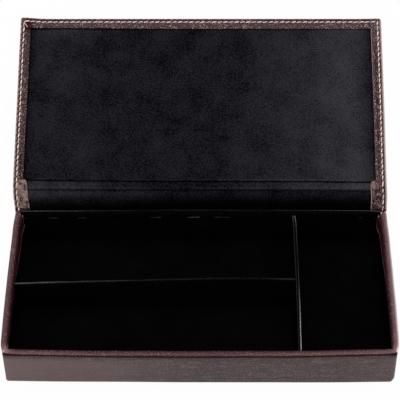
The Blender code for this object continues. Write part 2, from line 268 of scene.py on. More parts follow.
def smooth(low, high, value):
    """Rises softly from 0 at low to 1 at high."""
    share = min(max((value - low) / (high - low), 0.0), 1.0)
    return share * share * (3 - 2 * share)


def groove(distance, width):
    """1 in the middle of a line, falling to 0 beyond its width."""
    return math.exp(-(distance / width) ** 2)


def ripple(place, size, seed):
    """Smooth noise from about -1 to 1 that turns over within the given size; each seed is another pattern."""
    return noise.noise(Vector(place) / size + Vector((seed, 0.37 * seed, -0.61 * seed)))


def shares(steps):
    """Evenly spaced numbers from 0 to 1, both included."""
    return [i / steps for i in range(steps + 1)]


def stations(start, end, step):
    """Evenly spaced places from start to end, about a step apart."""
    return [start + (end - start) * share for share in shares(max(1, round(abs(end - start) / step)))]


def u_path(side_places, far_shares, left, right, far, corner, zone, inset):
    """The points (x, s) of a line up a panel's left side, along its far edge and down its right side.

    left and right give the half widths at a place s along the panel. inset(side, s) is the line's distance
    from the left (-1), far (0) or right (1) edge. Corners are round; zone is the part of each side that
    belongs to a corner. Lines of the same panel have matching points.
    """
    far_inset = inset(0, far)
    reach = max(corner, far_inset)
    radius = max(corner - far_inset, 0.0)
    start = side_places[-1]
    far_s = far - far_inset
    x_left, x_right = inset(-1, far) - left(far), right(far) - inset(1, far)
    first, last = zone - left(far), right(far) - zone
    straight, turns = shares(CORNER_STEPS), [share * math.pi / 2 for share in shares(TURN_STEPS)[1:-1]]
    points = [(inset(-1, s) - left(s), s) for s in side_places]
    points += [(x_left, start + (far - reach - start) * share) for share in straight[1:]]
    points += [(x_left + radius * (1 - math.cos(turn)), far_s - radius * (1 - math.sin(turn)))
               for turn in turns]
    points += [(x_left + radius + (first - x_left - radius) * share, far_s) for share in straight]
    points += [(first + (last - first) * share, far_s) for share in far_shares[1:]]
    points += [(last + (x_right - radius - last) * share, far_s) for share in straight[1:]]
    points += [(x_right - radius * (1 - math.sin(turn)), far_s - radius * (1 - math.cos(turn)))
               for turn in turns]
    points += [(x_right, far - reach + (start - far + reach) * share) for share in straight[:-1]]
    return points + [(right(s) - inset(1, s), s) for s in reversed(side_places)]


def add_rows(bm, rows):
    """Quads between neighbouring rows of vertices."""
    for row, following in zip(rows, rows[1:]):
        for i in range(len(row) - 1):
            bm.faces.new((row[i], row[i + 1], following[i + 1], following[i]))


def fill_u(bm, ring, flat, make_vertex, side_count):
    """Fill the panel inside its innermost line, whose corners are sharp, with a grid that matches it."""
    corner = side_count + CORNER_STEPS - 1
    far_start = corner + TURN_STEPS
    far_flat = flat[far_start:len(flat) - far_start]
    spans = [(x - far_flat[0][0]) / (far_flat[-1][0] - far_flat[0][0]) for x, _ in far_flat]
    rows = []
    for i in range(corner):
        (x_left, s), (x_right, _) = flat[i], flat[-1 - i]
        rows.append([ring[i]] + [make_vertex(x_left + (x_right - x_left) * span, s) for span in spans[1:-1]]
                    + [ring[-1 - i]])
    add_rows(bm, rows + [ring[far_start:len(ring) - far_start]])


def new_hide():
    """An empty mesh whose vertices keep their place on the flat hide and how pale or dark they are painted,
    for wear and as painted light and shade.
    """
    bm = bmesh.new()
    bm.verts.layers.float_vector.new("hide_place")
    bm.verts.layers.float.new("wear_and_light")
    return bm


def add_vertex(bm, place, flat=None, wear_and_light=0.0):
    """A vertex of a hide, with how pale it is painted: 1 where it is pale, from wear and as a painted
    highlight, 1.5 on a cut edge and -1 where it is dark, mostly as painted shade.
    """
    vert = bm.verts.new(place)
    vert[bm.verts.layers.float_vector["hide_place"]] = Vector(place if flat is None else flat)
    vert[bm.verts.layers.float["wear_and_light"]] = wear_and_light
    return vert


def add_piece(name, bm, material):
    """Turn a bmesh into a smooth-shaded object."""
    mesh = bpy.data.meshes.new(name)
    bmesh.ops.remove_doubles(bm, verts=bm.verts, dist=1e-6)
    bmesh.ops.recalc_face_normals(bm, faces=bm.faces)
    bm.to_mesh(mesh)
    bm.free()
    mesh.materials.append(material)
    mesh.shade_smooth()
    piece = bpy.data.objects.new(name, mesh)
    scene.collection.objects.link(piece)
    return piece


def put_on_tray(piece, node):
    """The piece moves with the tray, in place of its CAD solid."""
    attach(piece, "tray")
    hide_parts(node)


def thicken(piece, thickness):
    """Give a skin its thickness, inwards from its outer face."""
    solid = piece.modifiers.new("thickness", "SOLIDIFY")
    solid.thickness = thickness
    solid.offset = -1.0
    depsgraph = bpy.context.evaluated_depsgraph_get()
    mesh = bpy.data.meshes.new_from_object(piece.evaluated_get(depsgraph), preserve_all_data_layers=True,
                                           depsgraph=depsgraph)
    piece.modifiers.clear()
    piece.data = mesh


def pebbled_leather(name, tones, relief_depth, roughness, gloss, wrinkling=0.3):
    """Chrome-tanned leather with a pebble grain and a semi-matt finish; tones are pit, body and rubbed top.

    Each pebble's top catches the light and the creases between them stay dark, which is what the eye reads
    as grain. Wider clouds, where the hide was rubbed more or less, come from the dye and the finish, and long
    fine wrinkles from pulling it over the boards.
    """
    material, tree = new_material(name)
    place = add_node(tree, "Attribute", attribute_name="hide_place").outputs["Vector"]
    wear_and_light = add_node(tree, "Attribute", attribute_name="wear_and_light").outputs["Fac"]
    pit, body, top = (colour(code) for code in tones)

    # Pebbles: uneven round cells with a domed top, broken up by finer creases.
    bend = add_node(tree, "TexNoise", {"Vector": place, "Scale": 0.5 / GRAIN_PITCH, "Detail": 1.0})
    shifted = add_node(tree, "VectorMath", {0: bend.outputs["Color"], 1: (GRAIN_PITCH,) * 3, 2: place},
                       operation="MULTIPLY_ADD")
    pebbles = add_node(tree, "TexVoronoi", {"Vector": shifted, "Scale": 1 / GRAIN_PITCH}, feature="SMOOTH_F1")
    dome = add_node(tree, "MapRange", {"Value": pebbles, "From Min": 0.6, "From Max": 0.1},
                    interpolation_type="SMOOTHSTEP")
    creases = add_node(tree, "TexNoise", {"Vector": place, "Scale": 0.45 / GRAIN_PITCH, "Detail": 3.0})
    height = add_node(tree, "Math", {0: dome, 1: creases}, operation="MULTIPLY")

    # Wrinkles: the same kind of noise drawn out along the walls.
    stretched = add_node(tree, "Mapping", {"Vector": place, "Rotation": (0.12, 0.1, 0.0),
                                           "Scale": (WRINKLE_RUN, WRINKLE_RUN, 1.0)})
    wrinkles = add_node(tree, "TexNoise", {"Vector": stretched, "Scale": 1 / WRINKLE_PITCH, "Detail": 3.0,
                                           "Roughness": 0.55})
    folds = add_node(tree, "Math", {0: wrinkles, 1: wrinkling, 2: height}, operation="MULTIPLY_ADD")

    # Paling: the tops are pale in clouds, less on the cover's outer face, and all over where the hide is
    # painted pale, for wear and as painted highlights.
    base = add_node(tree, "Mix", {0: dome, 6: pit, 7: body}, data_type="RGBA")
    peak = add_node(tree, "MapRange", {"Value": folds, "From Min": 0.28 + 0.29 * wrinkling,
                                       "From Max": 0.62 + 0.45 * wrinkling}, interpolation_type="SMOOTHSTEP")
    clouds = add_node(tree, "TexNoise", {"Vector": place, "Scale": 1 / RUB_CLOUD, "Detail": 3.0})
    wear = add_node(tree, "MapRange", {"Value": clouds, "From Min": 0.3, "From Max": 0.7,
                                       "To Min": 0.28 + 0.25 * wrinkling})
    split = add_node(tree, "SeparateXYZ", {"Vector": place})
    handled = add_node(tree, "MapRange", {"Value": split.outputs["Z"], "From Min": -0.0005, "From Max": 0.002,
                                          "To Min": OUTER_WEAR})
    shown = add_node(tree, "Math", {0: peak, 1: wear}, operation="MULTIPLY")
    paled = add_node(tree, "Math", {0: shown, 1: handled}, operation="MULTIPLY")
    pale = add_node(tree, "Mix", {0: wear_and_light, 2: paled, 3: 1.0})
    tone = add_node(tree, "Mix", {0: pale, 6: base, 7: top}, data_type="RGBA")
    bare = add_node(tree, "MapRange", {"Value": wear_and_light, "From Min": 1.0, "From Max": 1.5})
    cut = add_node(tree, "Mix", {0: bare, 6: tone, 7: colour(RAW_FLESH)}, data_type="RGBA")
    # Painted shade: where the hide is painted dark it leans to the shade colour, and its gloss is turned down
    # too.
    shade = add_node(tree, "Math", {0: wear_and_light, 1: -1.0}, operation="MULTIPLY", use_clamp=True)
    shaded_hide = add_node(tree, "Mix", {0: shade, 6: cut, 7: colour(SHADE_AND_CREASE_MAROON)}, data_type="RGBA")

    relief = add_node(tree, "Bump", {"Height": folds, "Strength": 1.0, "Distance": relief_depth})
    polish = add_node(tree, "MapRange", {"Value": creases, "To Min": roughness - 0.1,
                                         "To Max": roughness + 0.1})
    sheen = add_node(tree, "MapRange", {"Value": wear_and_light, "From Min": -0.8, "From Max": 0.0,
                                        "To Min": 0.1 * gloss, "To Max": gloss})
    shader = add_node(tree, "BsdfPrincipled", {"Base Color": shaded_hide, "IOR": 1.5, "Specular IOR Level": sheen,
                                               "Roughness": polish, "Normal": relief})
    add_node(tree, "OutputMaterial", {"Surface": shader})
    return material


case_finish = pebbled_leather("fine_calf_leather", CASE_TONES, 0.00014, 0.5, 0.4, wrinkling=1.3)
case_low, case_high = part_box("case_leather")
case_length = case_high.y - case_low.y
wall_height = case_high.z - case_low.z


def case_half_width(s):
    return case_high.x


def front_bow(x, share):
    """How far the front wall stands out, from its foot (share 0) to its top (1)."""
    return (between(FOOT_BOW, x / MM) * (1 - share) + between(TOP_BOW, x / MM) * share) * MM


def side_bow(x, y):
    """Sideways shift of a point at the top of the walls: in full on a side wall, less towards the middle."""
    return between(LEFT_BOW if x < 0 else RIGHT_BOW, y / MM) * MM * x / case_high.x


def case_vertex(bm, x, s, height):
    """A vertex of the case; s is the distance forward from the open back.

    The walls are slightly slack, they bow and the front one's foot sags, and the top dips under the rim. The
    finish is rubbed at the corners and the foot; the front wall is painted paler towards its left as painted
    light, and the top is painted dark as painted shade under the rim, darkest in a line of painted shadow
    under its lip.
    """
    point = Vector((x, case_high.y - s, case_low.z + height))
    share = height / wall_height
    slack = CASE_SLACK * ripple((point.x * 0.35, point.y * 0.35, point.z * 1.6), 0.012, 3.0)
    tuck = smooth(wall_height - 0.0012, wall_height, height)
    front = smooth(case_length - 0.02, case_length, s)
    drop = between(FOOT_DROP, x / MM) * MM * front * (1 - smooth(0.0, 0.02, height))
    outward = Vector((x / case_high.x, 0.0, 0.0)) if s < case_length - CASE_CORNER else Vector((0, -1, 0))
    blunt = FOOT_BLUNT * smooth(0.127, 0.1327, x) * (1 - smooth(0.0, 0.0045, height))
    bent = Vector((side_bow(x, point.y) * share - blunt * front, -front_bow(x, share) * front,
                   WALL_RISE * tuck - drop))
    from_corner = max(case_high.x - abs(x), case_length - s)
    # Painted light across the front wall, with rubbing at its ends, corners and foot.
    paled = between(FRONT_RUB_AND_LIGHT, x / MM) * front + 0.5 * groove(from_corner, 0.0022)
    paled = min(paled + 0.35 * groove(height - 0.001, 0.0015), 0.95)
    # Painted shade under the rim, and a darker line of painted shadow right under its lip.
    shade = smooth(wall_height - 0.008, wall_height - 0.001, height)
    lip_shadow = smooth(wall_height - 0.0024, wall_height - 0.0014, height)
    return add_vertex(bm, point + outward * (slack - CASE_TUCK * tuck) + bent, point,
                      paled * (1 - shade) - 0.35 * shade - 0.55 * lip_shadow)


case_sides = stations(0.0, case_length - CASE_ZONE, CASE_STEP)
case_spans = shares(round(2 * case_high.x / CASE_STEP))
foot_turns = [share * math.pi / 2 for share in shares(4)]
case_lines = [(UNDERSIDE_INSET, 0.0)]  # lines round the case: how far in, and how high
case_lines += [(CASE_FOOT * (1 - math.sin(turn)), CASE_FOOT * (1 - math.cos(turn))) for turn in foot_turns]
case_lines += [(0.0, z) for z in stations(CASE_FOOT, wall_height - 0.003, CASE_STEP)[1:]]
case_lines += [(0.0, wall_height - z) for z in (0.0025, 0.0021, 0.0016, 0.0012, 0.0008, 0.0004, 0.0)]
bm = new_hide()
rows = []
for inset, height in case_lines:
    outline = u_path(case_sides, case_spans, case_half_width, case_half_width, case_length, CASE_CORNER,
                     CASE_ZONE, lambda side, s: inset)
    row = [case_vertex(bm, x, s, height) for x, s in outline]
    if not rows:
        fill_u(bm, row, outline, lambda x, s: case_vertex(bm, x, s, 0.0), len(case_sides))
    turned = [(max(reach, inset + 0.0001), back) for reach, back in WALL_END]
    rows.append([case_vertex(bm, reach - case_high.x, -back, height) for reach, back in turned] + row
                + [case_vertex(bm, case_high.x - reach, -back, height) for reach, back in reversed(turned)])
add_rows(bm, rows)
case_leather = add_piece("tray_case_leather", bm, case_finish)
thicken(case_leather, LEATHER_THICKNESS)
put_on_tray(case_leather, "case_leather")


# Rim: a folded strip of the same calf, dyed redder, glued along the top of the front and side walls with
# mitred front corners. Its outer edge is turned under, and its inner edge hangs down inside the wall as a
# flap that is cut deeper towards the back.
RIM_TONES = ("2A1013", "4A2B2E", "8E696D")
RIM_STEP = 0.002
RIM_WOBBLE = 0.00018
RIM_SPREAD = 0.3  # how far the front strip's outer edge hangs at its middle, mm
RIM_CORNER = 1.0  # how far the mitred corners are rounded off, mm
RIM_ACROSS = 4.9  # the strip's width, mm
END_CURL = 0.006  # length over which a side strip's rear end is turned down
# The strip's section from its outer edge over the top to the flap inside: across, up (mm) and how pale
# (above 0) or dark it is painted: paler over the top as a painted highlight, and darker on the turned-under
# edge and down the inner shoulder as painted shade.
RIM_SECTION = ((2.0, 0.7, -0.9), (0.7, 0.7, -0.9), (0.25, 0.7, -0.9), (0.05, 0.8, -0.8), (0.0, 0.92, -0.3),
               (0.1, 1.02, 0.0), (0.4, 1.15, 0.15), (0.9, 1.24, 0.2), (1.6, 1.3, 0.12), (2.4, 1.28, 0.0),
               (3.1, 1.18, -0.15), (3.7, 0.98, -0.5), (4.2, 0.6, -0.75), (4.6, 0.1, -0.9), (4.85, -0.4, -1.0))
# The flap's, where up is a share of how deep it hangs, and then back up along the wall. The flap is painted
# dark as painted shade, with a pale line at its lower fold.
FLAP_SECTION = ((4.9, 0.08, -1.0), (4.92, 0.9, -1.0), (4.93, 0.95, 0.9), (4.9, 1.03, 1.0), (4.68, 1.02, -0.9))
RIM_BACK = ((4.66, -0.6, -1.0), (4.2, -0.15, -1.0), (3.4, 0.0, -1.0))
# How deep the flap hangs along the wall, from the strip's start, both in millimetres.
FRONT_FLAP = ((0, 1.7), (267, 1.7))
LEFT_FLAP = ((0, 1.7), (7, 2.8), (68, 5.1), (85, 9.6), (99.5, 12.8), (121.1, 11.2), (121.6, 1.6))
RIGHT_FLAP = ((0, 1.7), (7, 2.4), (62, 4.0), (90, 8.8), (121.1, 11.8), (121.6, 1.6))
# How pale (or dark, below 0) each strip is painted along its length, from its start, by millimetres: pale
# by the mitres, and otherwise painted light, paler on the right strip, which faces the right lamp, than on
# the left.
FRONT_TONE = ((0, 1.0), (2.5, 0.4), (6, 0.12), (30, 0.06), (70, -0.04), (150, -0.1), (190, 0.02), (235, 0.08),
              (262, 0.15), (265, 0.4), (267, 0.8))
LEFT_TONE = ((0, 1.1), (3, 0.5), (7, 0.05), (125, 0.05))
RIGHT_TONE = ((0, 0.8), (3, 0.4), (7, 0.3), (60, 0.3), (125, 0.15))
front_low, front_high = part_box("rim_front")
left_low, left_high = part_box("rim_left")
right_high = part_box("rim_right")[1]
front_length = front_high.x - front_low.x
side_length = left_high.y - left_low.y


def rim_strip(name, node, place, length, rear_mitre, flap, tone, outer_highlight=0.0, bulge=0.0):
    """A strip swept along a wall. place(along, across, up) is a point, with across from the outer edge.

    The start is mitred, cut back by as much as it is across, and so is the end where rear_mitre is 1.
    Where it is 0, the end curls down, and the flap's end stands off the wall by the bulge, in millimetres.
    """
    bm = new_hide()
    loops = []
    for share in stations(0.0, 1.0, RIM_STEP / length):
        run = length * share
        depth = between(flap, run / MM)
        section = RIM_SECTION + tuple((c, -depth * u, wear_and_light) for c, u, wear_and_light in FLAP_SECTION) + RIM_BACK
        curl = 0.0 if rear_mitre else smooth(length - END_CURL, length, run)
        from_mitre = min(share, 1 - share if rear_mitre else 1.0) * length
        loop = []
        for across, up, wear_and_light in section:
            # The strip's painted tone along its length, and a painted highlight along the right strip's outer
            # shoulder.
            wear_and_light += between(tone, run / MM) + outer_highlight * groove(across - 0.4, 0.7)
            # The curled rear end is painted pale as a painted highlight, and the flap's end is painted pale
            # too.
            if 3.5 < across < 4.7 and up > -1.0:
                wear_and_light += 2.0 * smooth(0.0, 0.6, curl)
            if up < -0.5 and not rear_mitre:
                wear_and_light += 2.0 * smooth(length - 0.0052, length - 0.0042, run)
                across += bulge * smooth(length - 0.014, length - 0.006, run)
            across += RIM_CORNER * smooth(0.008, 0.0, from_mitre) * max(1 - across / RIM_ACROSS, 0.0)
            across, up = (across + (2.3 - across) * 0.12 * curl ** 2) * MM, (up - 1.1 * curl ** 2) * MM
            along = across + (length - rear_mitre * across - across) * share
            point = Vector(place(along, across, up))
            sway = RIM_WOBBLE * ripple((point.x, point.y, 0.0), 0.014, 11.0)
            lift = RIM_WOBBLE / 2 * (ripple((point.x, point.y, 0.0), 0.009, 17.0) - 1)
            loop.append(add_vertex(bm, place(along, across + sway, up + lift), point, wear_and_light))
        loops.append(loop)
    add_rows(bm, [loop + loop[:1] for loop in loops])
    for loop in (loops[0], loops[-1]):
        bm.faces.new(loop)
    strip = add_piece(name, bm, rim_finish)
    strip.data.set_sharp_from_angle(angle=math.radians(50))
    put_on_tray(strip, node)


def front_place(along, across, up):
    """The front strip bows with the wall, and its outer edge hangs a little lower in the middle."""
    share = 2 * along / front_length - 1
    fullness = (1 - share ** 4) * (1 - smooth(0.0, 0.004, across))
    x = share * right_high.x
    bow = front_bow(x, 1.0)
    if bow > 0.0:
        bow *= 0.7 * (1 - across / 0.01) ** 2
    return (x + side_bow(x, front_low.y), front_low.y + across - bow,
            front_low.z + up - RIM_SPREAD * MM * fullness * (1 - smooth(0.0004, 0.0013, up)))


def side_place(x, along, up):
    """The side strips bow with their walls and begin where the front strip ends."""
    start = left_low.y - front_bow(x, 1.0)
    y = start + along * (left_high.y - start) / side_length
    return x + side_bow(x, y), y, left_low.z + up


rim_finish = pebbled_leather("edge_strip_calf_leather", RIM_TONES, 0.0002, 0.45, 0.22)
rim_strip("tray_rim_front", "rim_front", front_place, front_length, 1, FRONT_FLAP, FRONT_TONE)
rim_strip("tray_rim_left", "rim_left", lambda a, c, u: side_place(left_low.x + c, a, u), side_length, 0,
          LEFT_FLAP, LEFT_TONE, bulge=0.6)
rim_strip("tray_rim_right", "rim_right", lambda a, c, u: side_place(right_high.x - c, a, u), side_length, 0,
          RIGHT_FLAP, RIGHT_TONE, outer_highlight=0.9, bulge=1.3)


# Tray linings: black pigskin suede glued to the inside of the walls and to the three floors. The floors are
# cut a little full, so they lie softly, and the suede is painted much darker than the cover's, as painted
# shade down in the compartments.
# Painted shade: these are far darker than the cover's suede, to stand for the shade in the compartments.
SUEDE_BLACK = "030304"
SUEDE_NAP = "09090B"
SUEDE_PALE = "A4A4A9"
SUEDE_SHADE_BLACK = "020202"
NAP_CLOUD = 0.019  # size of the patches that a hand strokes into the nap
NAP_FIBRE = 0.0011  # tufts of fibres, as single ones are too fine to show
LINING_STEP = 0.004
LINING_ROUND = 0.00022
FLOOR_SWELL = 0.0005
FLOOR_TRIM = Vector((0.00035, 0.00035, 0.0))  # the floors are cut to press against the walls
WALL_SWELL = 0.0002


def suede(name, dark, light, pale_colour):
    """Split leather buffed to a nap: fully matt, with stroked patches, pale where it is painted pale, for
    wear and as painted light, and dark where it is painted dark, as painted shade.
    """
    material, tree = new_material(name)
    place = add_node(tree, "Attribute", attribute_name="hide_place").outputs["Vector"]
    wear_and_light = add_node(tree, "Attribute", attribute_name="wear_and_light").outputs["Fac"]
    strokes = add_node(tree, "TexNoise", {"Vector": place, "Scale": 1 / NAP_CLOUD, "Detail": 2.0,
                                          "Roughness": 0.6, "Distortion": 0.3})
    fibres = add_node(tree, "TexNoise", {"Vector": place, "Scale": 1 / NAP_FIBRE, "Detail": 2.0,
                                         "Roughness": 0.7})
    blend = add_node(tree, "Mix", {0: 0.72, 2: strokes, 3: fibres})
    nap = add_node(tree, "MapRange", {"Value": blend, "From Min": 0.4, "From Max": 0.6})
    tone = add_node(tree, "Mix", {0: nap, 6: colour(dark), 7: colour(light)}, data_type="RGBA")
    swell = add_node(tree, "Math", {0: blend, 1: 1.65}, operation="MULTIPLY")
    uneven = add_node(tree, "Math", {0: swell, 1: 2.35}, operation="POWER")
    above = add_node(tree, "Math", {0: wear_and_light, 1: 0.0}, operation="MAXIMUM")
    pale = add_node(tree, "Math", {0: above, 1: uneven}, operation="MULTIPLY")
    bloom = add_node(tree, "Mix", {0: pale, 6: tone, 7: colour(pale_colour)}, data_type="RGBA", clamp_factor=False)
    # Painted shade: where the suede is painted dark it leans to black.
    shade = add_node(tree, "Math", {0: wear_and_light, 1: -1.0}, operation="MULTIPLY", use_clamp=True)
    shaded_nap = add_node(tree, "Mix", {0: shade, 6: bloom, 7: colour(SUEDE_SHADE_BLACK)}, data_type="RGBA")
    relief = add_node(tree, "Bump", {"Height": fibres, "Strength": 0.5, "Distance": 0.0002})
    shader = add_node(tree, "BsdfPrincipled", {"Base Color": shaded_nap, "Roughness": 1.0,
                                               "Specular IOR Level": 0.0, "Normal": relief})
    add_node(tree, "OutputMaterial", {"Surface": shader})
    return material


def face_grid(bm, limits, fixed, at_high, steps):
    """One face of a box as a grid; fixed is the axis that the face is square to."""
    first, second = [axis for axis in range(3) if axis != fixed]
    rows = []
    for a in steps[first]:
        row = []
        for b in steps[second]:
            point = [0.0, 0.0, 0.0]
            point[fixed] = limits[fixed][at_high]
            point[first], point[second] = a, b
            row.append(add_vertex(bm, point))
        rows.append(row)
    add_rows(bm, rows)


def soft_block(low, high, radius):
    """A box with round edges, meshed finely enough to be given soft waves."""
    limits = list(zip(low, high))
    bm = new_hide()
    steps = [[a, a + radius / 2] + stations(a + radius, b - radius, LINING_STEP) + [b - radius / 2, b]
             for a, b in limits]
    for axis in range(3):
        for at_high in (0, 1):
            face_grid(bm, limits, axis, at_high, steps)
    for vert in bm.verts:
        core = Vector([min(max(c, a + radius), b - radius) for c, (a, b) in zip(vert.co, limits)])
        vert.co = core + (vert.co - core).normalized() * radius
    return bm


def lining(node, facing, swell):
    """Suede in place of its CAD sheet; its open face, along facing, swells and waves slightly."""
    low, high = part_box(node)
    facing = Vector(facing)
    if facing.z:
        low, high = low - FLOOR_TRIM, high + FLOOR_TRIM
    bm = soft_block(low, high, LINING_ROUND)
    span = high - low
    for vert in bm.verts:
        if (vert.co - (low + high) / 2).dot(facing) > 0:
            edges = [min(vert.co[a] - low[a], high[a] - vert.co[a]) for a in range(3) if span[a] > 0.002]
            fullness = min(1.0, min(edges) / 0.006)
            vert.co += facing * swell * fullness * (0.5 + 0.5 * ripple(vert.co, 0.03, 5.0))
    for vert in bm.verts:
        share = (vert.co.z - case_low.z) / wall_height
        if facing.x:
            vert.co.x += side_bow(vert.co.x, vert.co.y) * share
        if facing.y:
            vert.co.y -= min(front_bow(vert.co.x, 1.0), 0.0) * share
    put_on_tray(add_piece(node.replace("_lining", "_suede"), bm, tray_suede), node)


tray_suede = suede("black_pigskin_suede_painted_shade", SUEDE_BLACK, SUEDE_NAP, SUEDE_PALE)
for node, facing in (("front_lining", (0, 1, 0)), ("left_lining", (1, 0, 0)), ("right_lining", (-1, 0, 0))):
    lining(node, facing, WALL_SWELL)
for node in ("floor_lining_rear", "floor_lining_front", "floor_lining_right"):
    lining(node, (0, 0, 1), FLOOR_SWELL)


# Back wall and dividers: thin boards with suede folded over the top, so that each has a soft rounded crest,
# pale in lines along it, partly rubbed and partly as painted highlights. They stand a little bent, and so do
# the boards inside the suede.
FOLD_STEP = 0.002
FOLD_SAG = 0.00012
BOARD_EDGE = 0.0001
CREST_LINE = 0.0005  # half width of a pale line on a crest, partly rubbed and partly a painted highlight
GLUE_LINE = 0.0035  # below the back wall's crest, where its turned-in suede ends
# The band of painted shade over that edge: how far below the crest, its half width and how dark it is.
GLUE_SHADE = (0.0027, 0.0018, 0.6)
# Where a crest is pale: a line at a share of its half thickness, partly rubbed and partly a painted
# highlight, and how pale it is along the crest (dark below 0), by x for the back wall and the long divider
# and by y for the cross divider, in millimetres.
BACK_LINES = ((0.85, ((-129, 1.8), (-116, 1.7), (-94, 1.0), (-65, 0.35), (-29, 0.25), (0, 0.33), (36, 0.2),
                      (80, 0.45), (109, 1.2), (129, 1.4))),)
LONG_LINES = ((0.1, ((-129, 0.36), (-112, 0.28), (-90, 0.14), (-60, 0.12), (-45, 0.06), (-29, 0.04),
                     (0, 0.04), (43, 0.03), (60, 0.08))),)
CROSS_LINES = ((0.65, ((-58, 1.15), (-29, 1.0), (-20, 0.7), (-10, 0.4), (-4, 0.22), (22, 0.12), (47, 0.22),
                       (56, 0.5), (58.6, 0.5))),
               (-0.9, ((-58, 0.12), (-29, 0.12), (0, 0.15), (22, 0.15), (50, 0.15), (57, 0.3), (58.6, 0.3))),
               (-0.1, ((-58, -0.5), (56, -0.5), (58, 0.1))))
# How far a crest stands off its straight line, in millimetres: the back wall's and the long divider's to the
# back, by x, and the cross divider's to the right, by y. The back wall's rises by BACK_RISE of that too.
BACK_BEND = ((-129, 0.3), (-94, 0.35), (-65, 0.6), (-29, 0.95), (40, 1.0), (80, 0.82), (120, 0.6), (126, 0.3),
             (129, 0.2))
BACK_RISE = 0.6
LONG_BEND = ((-129, -2.9), (-100, -1.75), (-70, -0.85), (-29, 0.4), (10, 1.55), (30, 1.75), (43, 1.7),
             (66, 0.9))
CROSS_BEND = ((-58, -0.35), (-45, -0.1), (-29, 0.2), (0, 0.3), (50, 0.35), (55, 0.1), (58.6, -0.3))
# How clearly the line of glue shows along the back wall, in short dashes.
GLUE_SHOWS = ((-129, 1.0), (-100, 1.0), (-80, 0.6), (-60, 0.2), (-45, 0.3), (-30, 0.9), (20, 0.9), (50, 0.6),
              (60, 0.2), (100, 0.2), (110, 0.8), (129, 0.8))


def glue_line_and_shade(along, below):
    """The glue line on the back wall's inner face, just over the edge of the turned-in suede, with a band of
    painted shade above it.
    """
    dashes = smooth(-0.1, 0.4, ripple((along, 0.0, 0.0), 0.009, 41.0) + 0.1)
    shown = 1.5 * dashes * between(GLUE_SHOWS, along / MM)
    band, width, dark = GLUE_SHADE
    return shown * groove(below - GLUE_LINE + 0.0005, 0.0003) - dark * groove(below - band, width)


def folded_suede(node, piece_name, along_x, lines, bend, rise=0.0, glued=False):
    """A closed skin over a board: down both faces and round over the crest, which stands off by bend."""
    low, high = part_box(node)
    start, end = (low.x, high.x) if along_x else (low.y, high.y)
    near, beyond = (low.y, high.y) if along_x else (low.x, high.x)
    half = (beyond - near) / 2
    middle = (near + beyond) / 2
    crest = high.z - half
    section = [(-half, z) for z in stations(low.z, crest - GLUE_LINE, 0.004)]
    section += [(-half, crest - GLUE_LINE + z) for z in (0.0003, 0.0006, 0.0009, GLUE_LINE)]
    section += [(-half * math.cos(share * math.pi), crest + half * math.sin(share * math.pi))
                for share in shares(16)[1:-1]]
    section += [(half, z) for z in stations(crest, low.z, 0.004)]
    bm = new_hide()
    rows = []
    for along in stations(start, end, FOLD_STEP):
        off = between(bend, along / MM) * MM
        sag = FOLD_SAG * ripple((along, 0.0, 0.0), 0.02, 31.0) + rise * off
        row = []
        for across, z in section:
            height = (z - low.z) / (high.z - low.z)
            # Pale lines along the crest: partly rubbed and partly painted highlights.
            wear_and_light = sum(groove(across - line * half, CREST_LINE) * between(rubs, along / MM)
                      for line, rubs in lines) * smooth(crest - 0.001, crest, z)
            if glued and across < 0:
                wear_and_light += glue_line_and_shade(along, crest - z)
            side = middle + across + off * height + 0.0001 * ripple((along, across, z), 0.012, 23.0)
            place = (along, side) if along_x else (side, along)
            row.append(add_vertex(bm, (*place, z + sag * height), wear_and_light=wear_and_light))
        rows.append(row)
    add_rows(bm, [row + row[:1] for row in rows])
    for row in (rows[0], rows[-1]):
        bm.faces.new(row)
    piece = add_piece(piece_name, bm, tray_suede)
    piece.data.set_sharp_from_angle(angle=math.radians(60))
    put_on_tray(piece, node)


def bent_board(node, piece_name, shift):
    """A wall's or a divider's board, bent as the suede on it is."""
    low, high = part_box(node)
    bm = soft_block(low, high, BOARD_EDGE)
    along, across = (0, 1) if high.x - low.x > high.y - low.y else (1, 0)
    for vert in bm.verts:
        vert.co[across] += shift(vert.co[along]) * (vert.co.z - low.z) / (high.z - low.z)
    put_on_tray(add_piece(piece_name, bm, fibreboard), node)


folded_suede("back_lining", "back_wall_suede", True, BACK_LINES, BACK_BEND, BACK_RISE, glued=True)
folded_suede("cross_divider_suede", "cross_divider_fold", False, CROSS_LINES, CROSS_BEND)
folded_suede("long_divider_suede", "long_divider_fold", True, LONG_LINES, LONG_BEND)
bent_board("front_board", "front_wall_core", lambda x: -min(front_bow(x, 1.0), 0.0))
bent_board("back_board", "back_wall_core", lambda x: between(BACK_BEND, x / MM) * MM)
bent_board("cross_divider_board", "cross_divider_core", lambda y: between(CROSS_BEND, y / MM) * MM)
bent_board("long_divider_board", "long_divider_core", lambda x: between(LONG_BEND, x / MM) * MM)


# Cover leather: brown pebbled calf round the spine board and the lid board in one piece, folded in over the
# suede as a border and stitched through. It bends at two pressed hinge lines, so it is modelled flat, as it
# is cut, and then laid along the bent cover.
COVER_TONES = ("220A0D", "4C2A2D", "BC9F9D")
COVER_THICKNESS = 0.0007  # skived a little thinner than the case
SPINE_SLOPE = math.radians(50.0)  # the open cover at rest, up from the table
LID_SLOPE = math.radians(20.5)
BEND_REACH = 0.0026  # half the length over which a hinge line bends
CREASE_REACH = 0.0036  # half the length of soft leather and suede between two stiff edges
SEAM_PLACE = 0.018  # up the spine, where its lower and upper skins join
COVER_CORNER = 0.0022
COVER_ZONE = 0.0100
CORNER_FLARE = 0.0012  # how far the lid's front corners are drawn out, the left one
RIGHT_FLARE = 0.0003  # and the right one
STITCH_PITCH = 0.0043
STITCH_INSET = 0.0026
STITCH_START = 0.004  # up the spine, where the row of stitches begins
PUCKER = 0.0001  # how far the thread pulls up the leather
